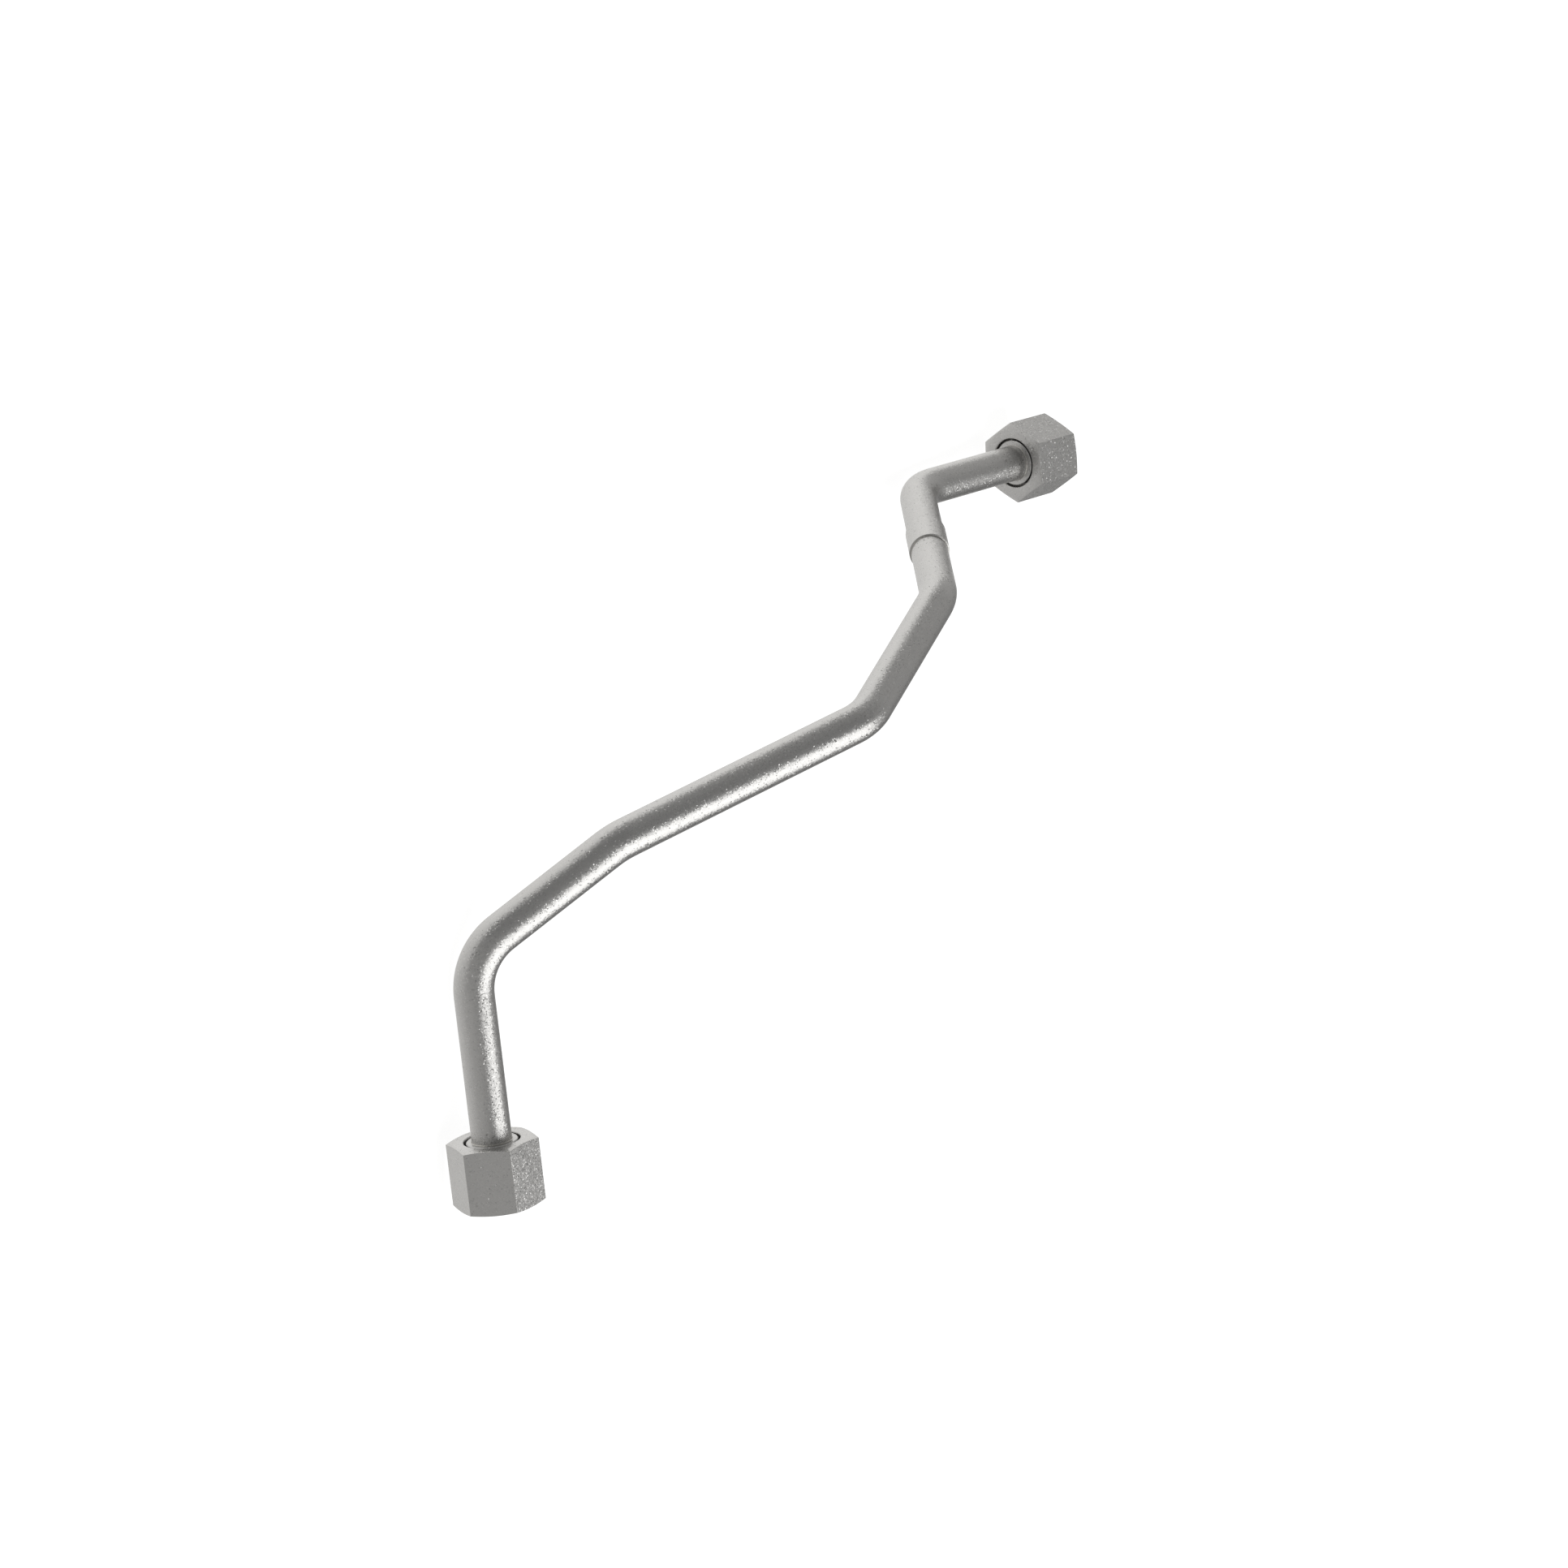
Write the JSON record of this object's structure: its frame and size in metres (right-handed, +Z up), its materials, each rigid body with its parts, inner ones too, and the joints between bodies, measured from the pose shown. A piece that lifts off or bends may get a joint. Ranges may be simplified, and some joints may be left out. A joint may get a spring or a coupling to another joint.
{
  "type": "steering hydraulic line",
  "caption": "Rigid bent steel hydraulic line with a brazed socket joint and a captive face seal union nut at each end.",
  "frame": {"origin": "middle of the bounding box's underside, on the surface that the line lies on", "axes": "+Z up as the line lies at rest on both nuts and the underside of its first bend; X along the line's length, with the lower nut at +X and the upper nut at -X; the picture looks from +X, -Y and above"},
  "size_m": [0.4671, 0.112, 0.0864],
  "materials": {
    "tube_steel": "satin drawn steel tube, zinc plated",
    "nut_steel": "cold drawn hexagon steel, turned and zinc plated",
    "sleeve_steel": "turned steel with a fine lathe finish",
    "braze": "silver braze"
  },
  "bodies": {
    "line": {"lower_tube": "tube_steel", "upper_tube": "tube_steel", "joint_braze": "braze", "lower_sleeve": "sleeve_steel", "lower_sleeve_braze": "braze", "upper_sleeve": "sleeve_steel", "upper_sleeve_braze": "braze"},
    "lower_nut": {"lower_nut": "nut_steel"},
    "upper_nut": {"upper_nut": "nut_steel"}
  },
  "joints": [
    {"name": "lower_nut_spin", "type": "hinge", "parent": "line", "child": "lower_nut", "pos_m": [0.2128, 0.03181, 0.01653], "axis": [0.4813, 0.8669, 0.1297], "continuous": true},
    {"name": "upper_nut_spin", "type": "hinge", "parent": "line", "child": "upper_nut", "pos_m": [-0.21518, 0.03561, 0.01774], "axis": [-0.8816, 0.4477, 0.1491], "continuous": true}
  ]
}
